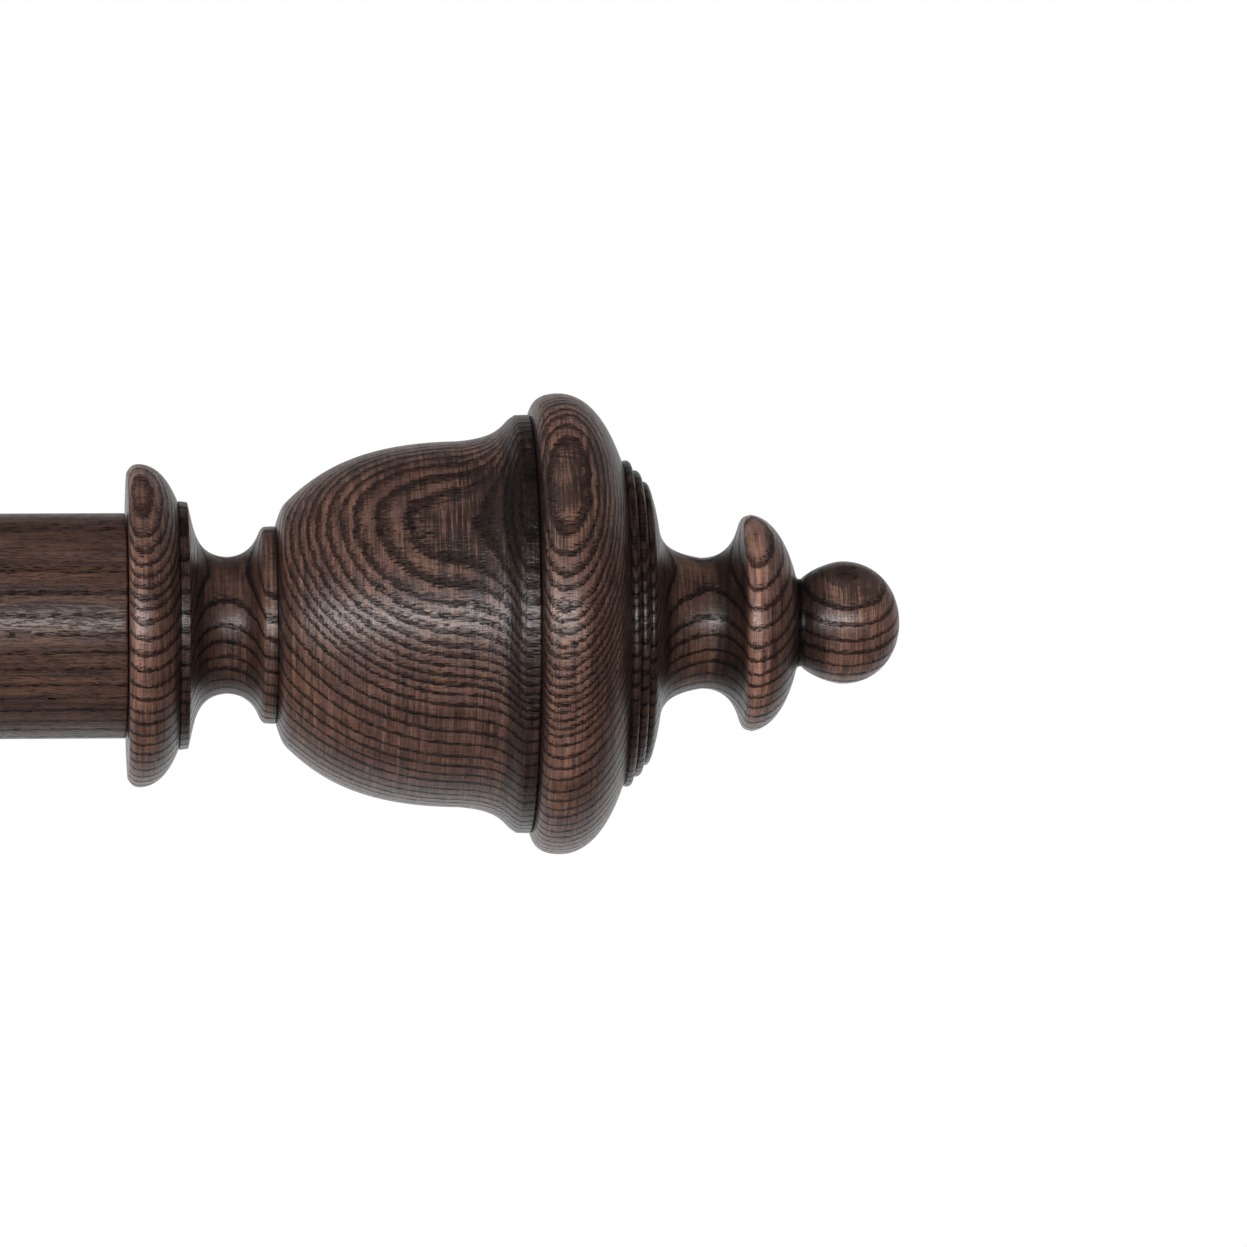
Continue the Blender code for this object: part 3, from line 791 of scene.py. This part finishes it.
def make_brackets():
    """A rosette, an arm, a cradle and a wall plate on each side, with its own stretch of grain."""
    for side, shift in (("left", 0.0), ("right", 613.0)):
        wall = centre(f"wall_plate_{side}")
        wall.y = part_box(f"wall_plate_{side}")[1].y
        axis = Vector((wall.x, centre("pole").y, centre("pole").z))

        wood = oak(f"oak_rosette_{side}", 52, shift + 21, grain="Z", tight=2.3, wide=3.6, widen_at=12)
        rosette = turned(f"turned_rosette_{side}", rosette_outline(), wood, closed=True)
        stand_for(rosette, f"rosette_{side}", wall, OUTWARDS)

        wood = oak(f"oak_arm_{side}", 30, shift + 64, tight=2.1, wide=3.4, widen_at=6)
        arm = turned(f"turned_arm_{side}", arm_outline(), wood, MEDIUM_SIDES)
        stand_for(arm, f"arm_{side}", wall, OUTWARDS)

        make_cradle(side, shift, wall, axis)
        make_wall_plate(side, wall)


def make_cradle(side, shift, wall, axis):
    """A cradle, bored at the back for its dowel and below for the screw and its cup."""
    wood = oak(f"oak_cradle_{side}", 118, shift + 88, grain="Y", tight=2.2, wide=3.6, turning=0)
    saddle = cradle(f"shaped_cradle_{side}", wood)
    bore = Outline(ARM_FRONT - 1, 0).line(ARM_FRONT - 1, DOWEL_RADIUS + FIT)
    bore.line(DOWEL_FRONT + 0.4, DOWEL_RADIUS + FIT).line(DOWEL_FRONT + 0.4, 0)
    cutter = turned("bore", bore, None, SMALL_SIDES, ease=0)
    cutter.matrix_world = Matrix.Translation(wall - axis) @ OUTWARDS
    cut(saddle, cutter)
    way = Outline(CRADLE_INNER - 2, 0).line(CRADLE_INNER - 2, SCREW_HOLE)
    way.line(CRADLE_OUTER - CUP_RECESS, SCREW_HOLE).line(CRADLE_OUTER - CUP_RECESS, CUP_RADIUS + FIT)
    way.line(CRADLE_OUTER + 1, CUP_RADIUS + FIT).line(CRADLE_OUTER + 1, 0)
    cutter = turned("way", way, None, SMALL_SIDES, ease=0)
    cutter.matrix_world = DOWN
    cut(saddle, cutter)
    stand_for(saddle, f"cradle_{side}", axis)


def make_wall_plate(side, wall):
    """A pressed steel disc with a tapped boss riveted into it, and three countersunk holes."""
    outline = Outline(0, 0).line(0, 5.4).line(0.3, 5.6).line(0.3, 6.0).line(0, 6.2).line(0, PLATE_RADIUS)
    outline.line(PLATE_THICKNESS, PLATE_RADIUS).line(PLATE_THICKNESS, BOSS_RADIUS)
    outline.line(BOSS_FRONT, BOSS_RADIUS).line(BOSS_FRONT, BOLT_HOLE + 0.5)
    outline.line(BOSS_FRONT - 0.5, BOLT_HOLE).line(BOSS_HOLE_END, BOLT_HOLE).line(BOSS_HOLE_END, 0)
    plate = turned(f"pressed_plate_{side}", outline, STEEL, MEDIUM_SIDES, ease=0.4)
    for i in range(PLATE_SCREWS):
        spot = PLATE_SCREW_CIRCLE * MM * direction(90 + 360 * i / PLATE_SCREWS)
        hole = Outline(-1, 0).line(-1, PLATE_SCREW_RADIUS).line(0.8, PLATE_SCREW_RADIUS)
        hole.line(PLATE_THICKNESS + 0.4, PLATE_SINK_RADIUS + 0.4).line(PLATE_THICKNESS + 0.4, 0)
        cutter = turned("sink", hole, None, SMALL_SIDES, ease=0)
        cutter.matrix_world = Matrix.Translation((0, spot.x, spot.y))
        cut(plate, cutter)
    stand_for(plate, f"wall_plate_{side}", wall, OUTWARDS)


# ---------------------------------------------------------------- metal fittings

def threaded_rod(name, stations, surface):
    """A closed rod whose radius winds round it. stations gives (station, root, crest, turns) rows."""
    mesh_edit = bmesh.new()
    rings = []
    for station, root, crest, turns in stations:
        ring = []
        for i in range(SMALL_SIDES):
            wave = abs(2 * ((turns + i / SMALL_SIDES) % 1) - 1)
            radius = root + (crest - root) * min(1, max(0, 1.35 * wave - 0.2))
            spot = radius * direction(-360 * i / SMALL_SIDES)
            ring.append(mesh_edit.verts.new((station, spot.x, spot.y)))
        rings.append(ring)
    for near, far in zip(rings, rings[1:]):
        for i in range(SMALL_SIDES):
            j = (i + 1) % SMALL_SIDES
            mesh_edit.faces.new((near[i], near[j], far[j], far[i]))
    mesh_edit.faces.new(rings[0])
    mesh_edit.faces.new(rings[-1])
    return to_object(name, mesh_edit, surface)


def thread_rows(start, end, crest, depth, pitch, taper_in=0.0, taper_out=0.0, rows_per_turn=8):
    """Rows for threaded_rod, with a chamfer or point of the given length at either end."""
    count = math.ceil((end - start) / pitch * rows_per_turn)
    rows = []
    for i in range(count + 1):
        station = start + (end - start) * i / count
        share = 1.0
        if taper_in:
            share = min(share, (station - start) / taper_in)
        if taper_out:
            share = min(share, (end - station) / taper_out)
        root = max(THINNEST, (crest - depth) * (0.25 + 0.75 * share))
        tip = max(THINNEST, crest * (0.3 + 0.7 * share))
        rows.append((station, root, tip, (station - start) / pitch))
    return rows


def make_bolts():
    """Hanger bolts: a machine thread that screws into the pole, and a wood thread in the finial."""
    for side, turn in (("left", HALF_TURN), ("right", NO_TURN)):
        rows = thread_rows(
            -BOLT_IN_POLE, BOLT_MACHINE_THREAD_END, BOLT_RADIUS, 0.8, BOLT_PITCH, taper_in=1.2,
        )
        rows += [(station, BOLT_RADIUS - 0.5, BOLT_RADIUS - 0.5, 0) for station in BOLT_SHANK]
        rows += thread_rows(
            BOLT_WOOD_THREAD_START, BOLT_IN_FINIAL, BOLT_RADIUS, 1.0, SCREW_PITCH, taper_out=6.0,
        )
        bolt = threaded_rod(f"hanger_bolt_{side}", rows, STEEL)
        stand_for(bolt, f"finial_bolt_{side}", finial_base(side), turn)

        ring = Outline(0, BOLT_HOLE).line(0, WASHER_RADIUS).line(WASHER_THICKNESS, WASHER_RADIUS)
        ring.line(WASHER_THICKNESS, BOLT_HOLE)
        washer = turned(f"fibre_ring_{side}", ring, FIBRE, MEDIUM_SIDES, ease=0.2, closed=True)
        stand_for(washer, f"finial_washer_{side}", finial_base(side), turn)


def make_pole_inserts():
    """Screw-in inserts with a flange, a hexagon for the driving key and a thread inside."""
    for side, turn in (("left", NO_TURN), ("right", HALF_TURN)):
        sleeve = Outline(FIT, BOLT_HOLE).line(FIT, INSERT_FLANGE_RADIUS)
        sleeve.line(INSERT_FLANGE, INSERT_FLANGE_RADIUS).line(INSERT_FLANGE, INSERT_RADIUS)
        sleeve.line(INSERT_LENGTH, INSERT_RADIUS).line(INSERT_LENGTH, BOLT_HOLE)
        turns = int((INSERT_LENGTH - HEX_DEPTH - 1) / BOLT_PITCH)
        for i in range(turns):
            station = INSERT_LENGTH - 0.4 - i * BOLT_PITCH
            sleeve.line(station, BOLT_HOLE).line(station - BOLT_PITCH / 2, BOLT_HOLE + 0.6)
        insert = turned(f"brass_insert_{side}", sleeve, BRASS, MEDIUM_SIDES, ease=0.2, closed=True)
        hexagon = [HEX_RADIUS * direction(60 * i) for i in range(6)]
        cut(insert, to_object("key", prism(hexagon, FIT - 1, HEX_DEPTH + 1), None))
        stand_for(insert, f"pole_insert_{side}", end_of("pole", side), turn)


def make_retaining_screws():
    """Slotted round-head wood screws in turned cups, under the cradles."""
    for side in ("left", "right"):
        cup_foot = centre(f"screw_cup_{side}")
        cup_foot.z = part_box(f"screw_cup_{side}")[0].z
        outline = Outline(0.5, SCREW_HOLE).line(0, SCREW_HEAD_RADIUS - 0.6)
        outline.line(0, SCREW_HEAD_RADIUS + 0.4)
        outline.curve(CUP_THICKNESS, CUP_RADIUS, 62, ALONG, 0.4, 0.4, 10)
        outline.line(CUP_THICKNESS, SCREW_HOLE)
        cup = turned(f"turned_cup_{side}", outline, BRASS, MEDIUM_SIDES, ease=0.15, closed=True)
        stand_for(cup, f"screw_cup_{side}", cup_foot, UP)

        head = cup_foot - Vector((0, 0, FIT * MM))
        rows = []
        for i in range(SCREW_HEAD_STEPS + 1):
            share = i / SCREW_HEAD_STEPS
            radius = max(SCREW_HEAD_FLAT, SCREW_HEAD_RADIUS * share)
            rows.append((-SCREW_HEAD * math.sqrt(1 - share * share), radius, radius, 0))
        rows += [(SCREW_SHANK * i / 3, SCREW_RADIUS - 0.15, SCREW_RADIUS - 0.15, 0) for i in range(3)]
        rows += thread_rows(
            SCREW_THREAD_START, SCREW_LENGTH, SCREW_RADIUS, 0.65, SCREW_PITCH,
            taper_out=4.0, rows_per_turn=12,
        )
        screw = threaded_rod(f"slotted_screw_{side}", rows, BRASS)
        slot = bmesh.new()
        bmesh.ops.create_cube(slot, size=1)
        bmesh.ops.scale(slot, vec=(SLOT_DEPTH * 2, 3 * SCREW_HEAD_RADIUS, SLOT_WIDTH), verts=slot.verts)
        bmesh.ops.translate(slot, vec=(-SCREW_HEAD, 0, 0), verts=slot.verts)
        cut(screw, to_object("slot", slot, None))
        stand_for(screw, f"retaining_screw_{side}", head, UP)


def dress_hidden_nodes():
    """Finishes for the CAD nodes that stay as they are, inside the brackets."""
    beech = bare_beech()
    for side in ("left", "right"):
        for node, surface in (("wall_stud", STEEL), ("arm_insert", BRASS), ("cradle_dowel", beech)):
            for slot in frame["nodes"][f"{node}_{side}"].material_slots:
                slot.material = surface


STEEL = metal("zinc_plate", (0.60, 0.60, 0.585), 0.34)
BRASS = metal("machined_brass", (0.62, 0.43, 0.17), 0.33)
FIBRE = fibre_sheet()

make_finials()
make_pole()
make_brackets()
make_bolts()
make_pole_inserts()
make_retaining_screws()
dress_hidden_nodes()

# ---------------------------------------------------------------- floor, light and camera

# The view is centred this far beyond the pole's right end, and is this wide there.
PHOTO_CENTRE = 126.5 * MM
VIEW_WIDTH = 317.3 * MM
CAMERA_DISTANCE = 2.6
CAMERA_LEFT = math.radians(4.0)
CAMERA_ROLL = math.radians(-0.26)
FLOOR_DROP = 0.9
FLOOR_RADIUS = 10.0
FLOOR_COLOUR = (0.94, 0.94, 0.94, 1.0)
WORLD_TILT = (0.0, 0.92, -0.3)
WORLD_RAMP = (0.45, 0.98, 0.03, 0.80)
# A bank of soft boxes on an arc, as (azimuth, power) pairs.
STRIP = ((-56, 40), (-28, 40), (0, 41), (26, 12))
STRIP_RISE = 4.0
STRIP_DISTANCE = 3.2
STRIP_SIZE = (1.6, 0.95)
# Lamps without highlights for the sides that the bank doesn't reach, as (azimuth, elevation, power).
# All but the one below are a little cool.
FILL = ((10, 78, 40), (0, -60, 26), (98, 20, 26), (140, 25, 65), (220, 25, 65), (262, 20, 26))
FILL_DISTANCE = 3.0
FILL_SIZE = (2.6, 1.4)
COOL = (0.82, 0.90, 1.0)


def make_floor():
    mesh_edit = bmesh.new()
    bmesh.ops.create_circle(mesh_edit, cap_ends=True, radius=FLOOR_RADIUS, segments=96)
    mesh = bpy.data.meshes.new("floor")
    mesh_edit.to_mesh(mesh)
    mesh_edit.free()
    floor = bpy.data.objects.new("floor", mesh)
    floor.location = (centre("pole").x, 0, -FLOOR_DROP)
    bpy.context.scene.collection.objects.link(floor)
    # It glows evenly, so no lamp marks it, and it can be looked through from below.
    g = Graph("floor")
    g.shader.inputs["Base Color"].default_value = (0, 0, 0, 1)
    g.shader.inputs["Specular IOR Level"].default_value = 0
    g.shader.inputs["Emission Color"].default_value = FLOOR_COLOUR
    g.shader.inputs["Emission Strength"].default_value = 1
    above = g.math("SUBTRACT", 1.0, g.node("ShaderNodeNewGeometry").outputs["Backfacing"])
    g.feed(g.shader.inputs["Alpha"], above)
    mesh.materials.append(g.material)
    floor.visible_glossy = False
    floor.visible_diffuse = False
    floor.visible_shadow = False


def make_world():
    """A plain white surround, dim above and on the room's side so that the lacquer keeps its darks."""
    world = bpy.data.worlds.new("studio")
    world.use_nodes = True
    tree = world.node_tree
    bpy.context.scene.world = world
    background = tree.nodes["Background"]
    background.inputs["Color"].default_value = (1, 1, 1, 1)
    coordinates = tree.nodes.new("ShaderNodeTexCoord")
    facing = tree.nodes.new("ShaderNodeVectorMath")
    facing.operation = "DOT_PRODUCT"
    facing.inputs[1].default_value = WORLD_TILT
    tree.links.new(coordinates.outputs["Generated"], facing.inputs[0])
    ramp = tree.nodes.new("ShaderNodeMapRange")
    ramp.interpolation_type = "SMOOTHSTEP"
    tree.links.new(facing.outputs["Value"], ramp.inputs["Value"])
    for socket, value in zip(ramp.inputs[1:5], WORLD_RAMP):
        socket.default_value = value
    seen = tree.nodes.new("ShaderNodeLightPath")
    mix = tree.nodes.new("ShaderNodeMix")
    mix.data_type = "FLOAT"
    tree.links.new(seen.outputs["Is Camera Ray"], mix.inputs["Factor"])
    tree.links.new(ramp.outputs["Result"], mix.inputs["A"])
    mix.inputs["B"].default_value = 1.0
    tree.links.new(mix.outputs["Result"], background.inputs["Strength"])


def soft_box(name, target, azimuth, elevation, distance, size, power):
    """An area light aimed at the target. Azimuth 0 is the room's side, and 90 is the right end."""
    data = bpy.data.lights.new(name, "AREA")
    data.shape = "RECTANGLE"
    data.size, data.size_y = size
    data.energy = power
    light = bpy.data.objects.new(name, data)
    bpy.context.scene.collection.objects.link(light)
    turn, rise = math.radians(azimuth), math.radians(elevation)
    offset = Vector((math.sin(turn) * math.cos(rise), -math.cos(turn) * math.cos(rise), math.sin(rise)))
    light.location = target + offset * distance
    light.rotation_euler = offset.to_track_quat("Z", "Y").to_euler()
    light.visible_camera = False
    return light


def make_camera(target):
    data = bpy.data.cameras.new("camera")
    data.sensor_width = 36.0
    data.lens = data.sensor_width * CAMERA_DISTANCE / VIEW_WIDTH
    data.clip_start, data.clip_end = 0.05, 100.0
    camera = bpy.data.objects.new("camera", data)
    bpy.context.scene.collection.objects.link(camera)
    back = Vector((-math.sin(CAMERA_LEFT), -math.cos(CAMERA_LEFT), 0))
    turn = back.to_track_quat("Z", "Y").to_matrix() @ Matrix.Rotation(CAMERA_ROLL, 3, "Z")
    camera.matrix_world = Matrix.Translation(target + back * CAMERA_DISTANCE) @ turn.to_4x4()
    bpy.context.scene.camera = camera


middle = centre("pole")
target = Vector((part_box("pole")[1].x + PHOTO_CENTRE, middle.y, middle.z))
make_floor()
make_world()
for azimuth, power in STRIP:
    soft_box(f"strip_{azimuth}", target, azimuth, STRIP_RISE, STRIP_DISTANCE, STRIP_SIZE, power)
for azimuth, elevation, power in FILL:
    lamp = soft_box(f"fill_{azimuth}", middle, azimuth, elevation, FILL_DISTANCE, FILL_SIZE, power)
    lamp.visible_glossy = False
    if elevation > 0:
        lamp.data.color = COOL
make_camera(target)
bpy.context.scene.view_settings.view_transform = "Standard"
